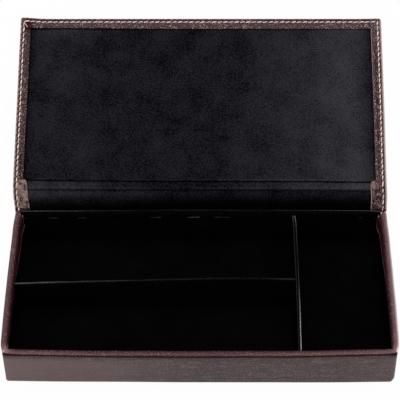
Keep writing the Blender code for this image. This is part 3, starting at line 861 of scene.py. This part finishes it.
BEAD_LIGHT = 0.35  # how strongly those beads are painted light and shade in turn, on the left
# From the lid's hinge line to the pressed line on the lid and to the one on the spine, by x, in millimetres;
# hand pressed, they are not quite parallel to it.
LID_LINE = ((-129, 4.0), (-116, 3.8), (-94, 3.5), (-60, 3.2), (0, 3.15), (60, 3.0), (90, 2.9), (109, 2.5),
            (129, 2.45))
SPINE_LINE = ((-129, 2.5), (-94, 2.4), (-65, 2.6), (-29, 2.75), (0, 2.55), (36, 2.65), (80, 2.75), (129, 2.9))
# Half widths and border widths up the cover, left and right, in millimetres. The borders narrow in a step
# just past the lid's hinge line.
LEFT_EDGE = ((0, 134.2), (20, 136.0), (28, 137.0), (36, 137.2), (67, 137.1), (106, 136.9), (142, 136.8),
             (160, 136.6))
RIGHT_EDGE = ((0, 134.4), (20, 136.8), (28, 137.0), (36, 136.6), (46, 136.6), (90, 137.1), (136, 137.3),
              (170, 137.4))
LEFT_BORDER = ((0, 10.4), (20, 11.2), (36, 10.7), (39.2, 10.2), (40.2, 9.0), (40.9, 7.6), (67, 7.7),
               (156, 8.2))
RIGHT_BORDER = ((0, 11.7), (36, 12.0), (38.2, 11.8), (39.1, 10.3), (39.8, 8.1), (60, 8.2), (104, 8.3),
                (156, 8.4))
FAR_BORDER = 9.1
FAR_TRIM = ((-129, 0.65), (-95, 0.65), (-62, 0.35), (-30, 0.0))  # cut off its raw edge, from left to right
EDGE_STRETCH = {-1: 1.08, 0: 1.3, 1: 1.23}  # how far the fold and the stitches lie apart on each side
# Lines across the border, from the raw edge round the fold to the outer face: measured from the raw edge or
# from the cover's edge, and up from the hinge line, in millimetres.
RAW_LINES = ((0.0, 2.9), (0.15, 3.12), (0.45, 3.2), (0.8, 3.22), (1.8, 3.22), (2.6, 3.22))
EDGE_LINES = ((4.7, 3.22), (3.7, 3.18), (3.1, 3.02), (2.6, 2.86), (2.1, 3.02), (1.5, 3.16), (0.95, 3.05),
              (0.45, 2.65), (0.12, 1.9), (0.0, 0.85), (0.12, -0.25), (0.45, -0.95), (0.95, -1.32),
              (1.5, -1.42), (2.1, -1.32), (2.6, -1.18), (3.1, -1.32), (3.9, -1.42), (5.6, -1.42), (7.6, -1.4))
# How strong the painted highlight on the fold is, and how dark the painted shade in the line beside it, on
# the left, far and right side.
FOLD_HIGHLIGHT = {-1: 0.75, 0: 0.1, 1: 1.25}
FOLD_SHADE = {-1: 0.6, 0: 0.8, 1: 0.4}
RAW_RUB = ((0, 1.5), (36, 1.4), (40, 0.2), (110, 0.3), (125, 0.7), (160, 0.9))  # up the right raw edge, by mm
# How pale the spine's borders are painted, left and right: worn in spots, the spots' size and pattern, and
# painted light all over, most on the left border, which faces the light.
SPINE_SPOTS = {-1: (0.85, 0.0017, 51.0, 0.3), 1: (0.55, 0.0022, 51.0, 0.04)}
joint_places = {joint["name"]: Vector(joint["pos_m"]) for joint in frame["joints"]}
spine_hinge = joint_places["spine_hinge"]
lid_hinge = joint_places["lid_hinge"]
spine_length = (lid_hinge - spine_hinge).length
lid_end = spine_length + (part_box("lid_leather")[1].y - lid_hinge.y) / math.cos(LID_SLOPE) + 0.0001


def along_slope(slope):
    return Vector((0.0, math.cos(slope), math.sin(slope)))


def off_slope(slope):
    return Vector((0.0, -math.sin(slope), math.cos(slope)))


def cover_point(x, t, h):
    """Where a point of the flat cover lies: t up from the spine's hinge line and h towards the inner side."""
    flare = CORNER_FLARE * smooth(-0.116, -0.137, x) + RIGHT_FLARE * smooth(0.118, 0.137, x)
    t += flare * smooth(lid_end - 0.014, lid_end, t)
    turns = ((0.0, spine_hinge, 0.0, SPINE_SLOPE), (spine_length, lid_hinge, SPINE_SLOPE, LID_SLOPE))
    for corner_t, corner, before, after in turns:
        if t < corner_t - BEND_REACH:
            return corner + along_slope(before) * (t - corner_t) + off_slope(before) * h + Vector((x, 0, 0))
        if t < corner_t + BEND_REACH:
            slope = before + (after - before) * (t - corner_t + BEND_REACH) / (2 * BEND_REACH)
            radius = BEND_REACH / math.tan((after - before) / 2)
            centre = corner - along_slope(before) * BEND_REACH + off_slope(before) * radius
            return centre + off_slope(slope) * (h - radius) + Vector((x, 0, 0))
    return (lid_hinge + along_slope(LID_SLOPE) * (t - spine_length) + off_slope(LID_SLOPE) * h
            + Vector((x, 0, 0)))


def bend_with(piece, lower, upper, hinge_t, *nodes):
    """The piece bends with a hinge line, in place of its CAD solids."""
    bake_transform(piece, lower, upper, start=cover_point(0, hinge_t - CREASE_REACH, 0),
             end=cover_point(0, hinge_t + CREASE_REACH, 0))
    if nodes:
        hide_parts(*nodes)


def left_edge(t):
    return between(LEFT_EDGE, t / MM) * MM


def right_edge(t):
    return between(RIGHT_EDGE, t / MM) * MM


def border_width(side, t):
    """Width of the turned-in border on the left (-1), far (0) or right (1) side."""
    table = {-1: LEFT_BORDER, 1: RIGHT_BORDER}.get(side)
    return (between(table, t / MM) if table else FAR_BORDER) * MM


def lid_line(x):
    return between(LID_LINE, x / MM) * MM


def spine_line(x):
    return between(SPINE_LINE, x / MM) * MM


def pressed_lines(x, t, width):
    """1 on the pressed lines beside the lid's hinge."""
    past = t - spine_length
    return groove(past - lid_line(x), width) + groove(past + spine_line(x), width)


def pressed(x, t, h):
    """Height after pressing: the cover is thin at the tray's edge and has lines beside the lid's hinge."""
    flat = -0.0012 + (h + 0.0014) * 0.2
    height = flat + (h - flat) * smooth(-0.0005, 0.006, t)
    inner, outer = smooth(0.0, 0.002, h), smooth(0.0, 0.001, -h)
    return (height - 0.0004 * inner * pressed_lines(x, t, 0.0007)
            + 0.0007 * outer * groove(t - spine_length, 0.0022))


def stitch_run(x, t):
    """Distance along the row of stitches to the place beside (x, t)."""
    from_left, from_right, from_far = x + left_edge(t), right_edge(t) - x, lid_end - t
    side_run = lid_end - STITCH_INSET * EDGE_STRETCH[0] - STITCH_START
    if from_far < min(from_left, from_right):
        return side_run + from_left - STITCH_INSET
    width = left_edge(lid_end) + right_edge(lid_end) - 2 * STITCH_INSET
    return t - STITCH_START if from_left < from_right else side_run + width + side_run - t + STITCH_START


def cover_vertex(bm, x, t, h, wear_and_light=0.0):
    """A vertex of the cover's leather, with the puckers that the thread pulls up beside each stitch; on the
    left they are painted pale and dark in turn, as painted light and shade.
    """
    depth = min((x + left_edge(t)) / EDGE_STRETCH[-1], (right_edge(t) - x) / EDGE_STRETCH[1],
                (lid_end - t) / EDGE_STRETCH[0])
    wave = math.cos(2 * math.pi * stitch_run(x, t) / STITCH_PITCH)
    beside = groove(depth - 0.0009, 0.0009) + 0.5 * groove(depth - 0.0042, 0.0007)
    lift = math.copysign(PUCKER * wave * beside, h - 0.0008)
    bead = BEAD_LIGHT * wave * groove(depth - 0.0006, 0.0009) if x < 0 else 0.0
    return add_vertex(bm, cover_point(x, t, pressed(x, t, h) + lift), (x, t, h), wear_and_light + bead)


def line_inset(line, from_raw):
    """The inset of a line of the border, on each side."""
    def inset(side, t):
        return border_width(side, t) - line * MM if from_raw else line * EDGE_STRETCH[side] * MM
    return inset


def trimmed(x, t, line, from_raw):
    """Where a line of the far border lies once its raw edge has been cut narrower."""
    near_far = from_raw and t > lid_end - FAR_BORDER * MM - 0.0001
    return t + between(FAR_TRIM, x / MM) * MM * (1 - line / RAW_LINES[-1][0]) if near_far else t


def edge_wear_and_light(x, line, t, h, from_raw):
    """How pale or dark the border is painted on a line of it.

    The raw edge shows pale flesh, mostly on the right, and the lid's left border is painted a little darker
    as painted shade. The fold carries a painted highlight, strongest at the sides, with a line of painted
    shade beside it, darkest in front. The left front mitre has a painted highlight along its fold line, with
    a darker patch round it, and the spine's borders are worn pale in spots, painted light all over and
    darkened with painted shade at the foot.
    """
    from_far = (lid_end - t) / FAR_BORDER / MM
    side = math.copysign(1, x)
    from_side = min(x + left_edge(t), right_edge(t) - x) / border_width(side, t)
    if from_far < from_side:
        side = 0
    inner, on_border = h > 0.0, from_raw or line > 3.0
    wear_and_light = 0.0
    # A painted highlight along the left front mitre, with a darker patch round it.
    if x < -0.1 and max(from_far, from_side) < 1.3 and inner and on_border:
        mitre = (x + left_edge(t)) - (lid_end - t) * 0.75 + 0.0004
        wear_and_light += 2.2 * groove(mitre, 0.0005) * smooth(0.0088, 0.0078, lid_end - t)
        wear_and_light -= 0.8 * smooth(1.3, 1.0, max(from_far, from_side))
    if from_raw and line < 0.3 and side == 1:
        wear_and_light += between(RAW_RUB, t / MM)
    # Painted shade over the lid's left border.
    if from_raw and side == -1 and t > spine_length + 0.004:
        wear_and_light -= 0.25
    # A painted highlight on the fold, and painted shade in the line beside it.
    if not from_raw and inner:
        wear_and_light += FOLD_HIGHLIGHT[side] * groove(line - 0.3, 0.75) - FOLD_SHADE[side] * groove(line - 1.9, 0.5)
    # Pale spots of wear, and painted light all over, on the spine's borders.
    if side and inner and on_border and t < spine_length + 0.004:
        spots, size, seed, even = SPINE_SPOTS[side]
        wear_and_light += spots * ripple((x, t, 0.0), size, seed) + even
    # Painted shade at the spine's foot, down behind the tray's back wall.
    shaded = smooth(0.0212, 0.0186, t) * smooth(0.0135, 0.0165, t) if inner else 0.0
    return wear_and_light - 0.9 * shaded


cover_finish = pebbled_leather("pebbled_calf_leather", COVER_TONES, 0.0003, 0.45, 0.22)
cover_sides = stations(SEAM_PLACE, lid_end - COVER_ZONE, STITCH_PITCH / 4)
cover_spans = shares(round((left_edge(lid_end) + right_edge(lid_end) - 2 * COVER_ZONE) / (STITCH_PITCH / 4)))
cover_lines = [(line, h, True) for line, h in RAW_LINES] + [(line, h, False) for line, h in EDGE_LINES]

# The lid and the upper half of the spine.
bm = new_hide()
rows = []
for line, h, from_raw in cover_lines:
    outline = u_path(cover_sides, cover_spans, left_edge, right_edge, lid_end, COVER_CORNER, COVER_ZONE,
                     line_inset(line, from_raw))
    rows.append([cover_vertex(bm, x, trimmed(x, t, line, from_raw), h * MM, edge_wear_and_light(x, line, t, h, from_raw))
                 for x, t in outline])
add_rows(bm, rows)
fill_u(bm, rows[-1], outline, lambda x, t: cover_vertex(bm, x, t, cover_lines[-1][1] * MM), len(cover_sides))
lid_skin = add_piece("lid_cover_leather", bm, cover_finish)
thicken(lid_skin, COVER_THICKNESS)
bend_with(lid_skin, "spine", "lid", spine_length, "lid_leather", "lid_crease_leather")

# The lower half of the spine, down to the tray's rear bottom edge.
bm = new_hide()
crease_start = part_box("base_crease_leather")[0].y - spine_hinge.y
rows = []
for t in stations(crease_start, SEAM_PLACE, STITCH_PITCH / 4):
    row = []
    for side, lines in ((-1, cover_lines), (1, cover_lines[::-1])):
        for line, h, from_raw in lines:
            inset = line_inset(line, from_raw)(side, t)
            x = inset - left_edge(t) if side < 0 else right_edge(t) - inset
            row.append(cover_vertex(bm, x, t, h * MM, edge_wear_and_light(x, line, t, h, from_raw)))
        if side < 0:
            x_left, x_right = x, right_edge(t) - cover_lines[-1][0] * MM
            row += [cover_vertex(bm, x_left + (x_right - x_left) * share, t, h * MM)
                    for share in cover_spans[1:-1]]
    rows.append(row)
add_rows(bm, rows)
spine_skin = add_piece("spine_cover_leather", bm, cover_finish)
thicken(spine_skin, COVER_THICKNESS)
bend_with(spine_skin, "tray", "spine", 0.0, "spine_leather", "base_crease_leather")


# Cover lining: one sheet of black goat suede from the spine's foot over the hinge line to the lid's front
# edge, glued down and tucked under the leather border. The nap is stroked unevenly; it is painted paler
# towards the sides as painted light, and darker towards the spine's foot as painted shade.
COVER_SUEDE_DARK = "050407"
COVER_SUEDE_LIGHT = "242329"
COVER_SUEDE_PALE = "38373D"
SUEDE_THICKNESS = 0.0006
SUEDE_TOP = 0.0020  # its top above the hinge line
SUEDE_TUCK = 0.0016  # how far it reaches under the border
SUEDE_STEP = 0.0025
# How pale the nap is painted from left to right, on the lid, between the pressed lines and on the spine:
# partly stroked nap and partly painted light from the side lamps, paler towards the sides.
LID_NAP_AND_LIGHT = ((-129, -0.3), (-123, 0.1), (-105, 0.18), (-85, 0.05), (-60, -0.05), (10, -0.05), (50, 0.25),
           (80, 0.55), (100, 0.95), (116, 1.0), (122, 0.6), (128, 0.0))
HINGE_NAP_AND_LIGHT = ((-129, 0.9), (-116, 0.8), (-94, 0.6), (-65, 0.1), (-29, -0.35), (0, -0.35), (36, 0.15),
             (80, 0.7), (109, 1.2), (116, 1.6), (129, 1.5))
SPINE_NAP_AND_LIGHT = ((-129, 1.2), (-122, 1.0), (-110, 0.9), (-70, 0.5), (-29, 0.25), (0, 0.05), (36, 0.2), (80, 0.3),
             (128, 0.4))
LIP_HIGHLIGHT = ((-129, 0.35), (-60, 0.1), (0, 0.3), (36, 0.75), (129, 0.6))  # a painted highlight along the lid's pressed line
CORNER_RUB = ((-129, 0.0), (-118, 0.1), (-112, 0.6), (-98, 0.7), (-88, 0.2), (-78, 0.0))  # at its front edge
FOOT_SHADE = ((-129, -1.5), (-80, -1.5), (-40, 0.0), (-10, 0.5), (30, 1.0), (129, 0.5))  # where its painted shade begins, mm
suede_front = lid_end - FAR_BORDER * MM


def suede_height(x, t):
    """Top of the suede: pressed thin at the foot, with a line each side of the lid's hinge."""
    return -0.0002 + (SUEDE_TOP + 0.0002) * smooth(0.0, 0.006, t) - 0.0008 * pressed_lines(x, t, 0.0006)


def suede_tone(x, t, from_border):
    """Paler towards the sides as painted light with uneven nap, darkened towards the tray's back wall with
    painted shade, with a line of painted shadow beside the border, painted shade in the pressed lines and a
    painted highlight on the lip beside them.
    """
    shift = between(FOOT_SHADE, x / MM) * MM
    foot = smooth(0.034 + shift, 0.021 + shift, t)
    past = t - spine_length
    upper, lower = lid_line(x), -spine_line(x)
    # Painted shade in the pressed lines, and a painted highlight on the lip beside each.
    line = 1.6 * groove(past - upper, 0.00065) + 0.5 * groove(past - lower + 0.0001, 0.0011)
    lip = between(LIP_HIGHLIGHT, x / MM) * groove(past - upper - 0.0011, 0.0006)
    lip += 0.4 * groove(past - lower - 0.0014, 0.0007)
    # Painted shadow beside the border, weaker along the spine's left half.
    edge = 0.9
    if past > upper:
        front = smooth(suede_front - 0.012, suede_front, t)
        wear_and_light = between(LID_NAP_AND_LIGHT, x / MM) + between(CORNER_RUB, x / MM) * front
    elif past > lower:
        wear_and_light = between(HINGE_NAP_AND_LIGHT, x / MM) + 0.3 * (upper - past) / (upper - lower) - 0.1
    else:
        wear_and_light = between(SPINE_NAP_AND_LIGHT, x / MM) * (1 - foot)
        edge = 0.9 if x > 0.0 else 0.2
    return (wear_and_light + lip) * max(1 - line, 0.0) - 0.97 * foot - line - edge * groove(from_border, 0.0007)


cover_suede = suede("black_goat_suede", COVER_SUEDE_DARK, COVER_SUEDE_LIGHT, COVER_SUEDE_PALE)
suede_places = stations(0.001, spine_length - 0.006, SUEDE_STEP)
suede_places += stations(spine_length - 0.006, spine_length + 0.006, 0.0004)[1:]
suede_places += stations(spine_length + 0.006, suede_front - 0.003, SUEDE_STEP)[1:]
suede_places += [suede_front + reach for reach in (-0.0018, -0.001, -0.0005, 0.0, SUEDE_TUCK)]
edge_steps = [-SUEDE_TUCK, 0.0, 0.0005, 0.001, 0.0018]
bm = new_hide()
rows = []
for t in suede_places:
    left, right = border_width(-1, t) - left_edge(t), right_edge(t) - border_width(1, t)
    places = [left + step for step in edge_steps]
    places += stations(left + 0.003, right - 0.003, (right - left) / 100)
    places += [right - step for step in reversed(edge_steps)]
    row = []
    for x in places:
        h = suede_height(x, t) + 0.00008 * ripple((x, t, 0.0), 0.02, 7.0)
        wear_and_light = suede_tone(x, t, max(min(x - left, right - x, suede_front - t), 0.0))
        row.append(add_vertex(bm, cover_point(x, t, h), (x, t, h), wear_and_light))
    rows.append(row)
add_rows(bm, rows)
suede_sheet = add_piece("cover_suede", bm, cover_suede)
thicken(suede_sheet, SUEDE_THICKNESS)
bend_with(suede_sheet, "spine", "lid", spine_length, "spine_lining", "lid_lining", "lid_crease_suede")


# Stitching: a row of thick off-white linen thread through the cover's border on both faces. Each stitch is a
# short bead of thread that arches out of its two holes and leans a little across the row. Waxed linen is
# matt, and its plies are too fine to show, so the tone turns over slowly from stitch to stitch.
THREAD_CREAM = "F3E1DD"
THREAD_SHADE = "C8ADA8"
THREAD_TURN = 0.0088  # over which the thread's tone turns over
THREAD_RADIUS = 0.00048
STITCH_LENGTH = 0.0039
STITCH_LEAN = 0.0003
STITCH_ARCH = 0.00022
INNER_THREAD = 0.0029  # height of the thread over the flat cover's hinge lines, on the inner face
OUTER_THREAD = -0.0012  # and on the outer one
THREAD_SPOKES = 8

thread_finish, tree = new_material("waxed_linen_thread")
place = add_node(tree, "Attribute", attribute_name="hide_place").outputs["Vector"]
ply = add_node(tree, "TexWave", {"Vector": place, "Scale": math.tau / 10 / THREAD_TURN, "Distortion": 2.0},
               bands_direction="DIAGONAL").outputs["Fac"]
tone = add_node(tree, "Mix", {0: ply, 6: colour(THREAD_SHADE), 7: colour(THREAD_CREAM)}, data_type="RGBA")
relief = add_node(tree, "Bump", {"Height": ply, "Strength": 0.6, "Distance": 0.00012})
shader = add_node(tree, "BsdfPrincipled", {"Base Color": tone, "Roughness": 0.6, "Normal": relief})
add_node(tree, "OutputMaterial", {"Surface": shader})


def add_stitch(bm, centre, direction, base, facing):
    """A bead of thread on the flat cover, arched along its length; facing is 1 on the inner side."""
    side = Vector((-direction.y, direction.x))
    lean = STITCH_LEAN * (1 if direction.x > 0.5 else -1)
    rings = []
    for step in shares(6):
        reach = 2 * step - 1
        body = math.sqrt(max(1 - abs(reach) ** 3, 0.12)) * THREAD_RADIUS
        arch = base + facing * (STITCH_ARCH * (1 - reach * reach) - 0.00004)
        middle = centre + direction * reach * STITCH_LENGTH / 2 + side * reach * lean
        ring = []
        for turn in (math.tau * spoke / THREAD_SPOKES for spoke in range(THREAD_SPOKES)):
            x, t = middle + side * math.cos(turn) * body
            h = arch + math.sin(turn) * body * 0.85
            ring.append(add_vertex(bm, cover_point(x, t, h), (x, t, h)))
        rings.append(ring)
    add_rows(bm, [ring + ring[:1] for ring in rings])
    for ring in (rings[0], rings[-1]):
        bm.faces.new(ring)


def stitch_places():
    """Centre and direction of each stitch along the cover's border, on the flat cover."""
    sides = stations(STITCH_START, lid_end - COVER_ZONE, 0.001)
    path = u_path(sides, shares(200), left_edge, right_edge, lid_end, COVER_CORNER, COVER_ZONE,
                  line_inset(STITCH_INSET / MM, False))
    line = [Vector(point) for point in path]
    places = []
    run, wanted = 0.0, STITCH_PITCH / 2
    for start, end in zip(line, line[1:]):
        length = (end - start).length
        while length > 1e-9 and wanted <= run + length:
            places.append((start.lerp(end, (wanted - run) / length), (end - start).normalized()))
            wanted += STITCH_PITCH
        run += length
    return places


lid_threads, spine_threads = new_hide(), new_hide()
for centre, direction in stitch_places():
    target = lid_threads if centre.y > SEAM_PLACE else spine_threads
    add_stitch(target, centre, direction, pressed(centre.x, centre.y, INNER_THREAD), 1)
    add_stitch(target, centre, direction, pressed(centre.x, centre.y, OUTER_THREAD), -1)
bend_with(add_piece("lid_stitches", lid_threads, thread_finish), "spine", "lid", spine_length)
bend_with(add_piece("spine_stitches", spine_threads, thread_finish), "tray", "spine", 0.0)
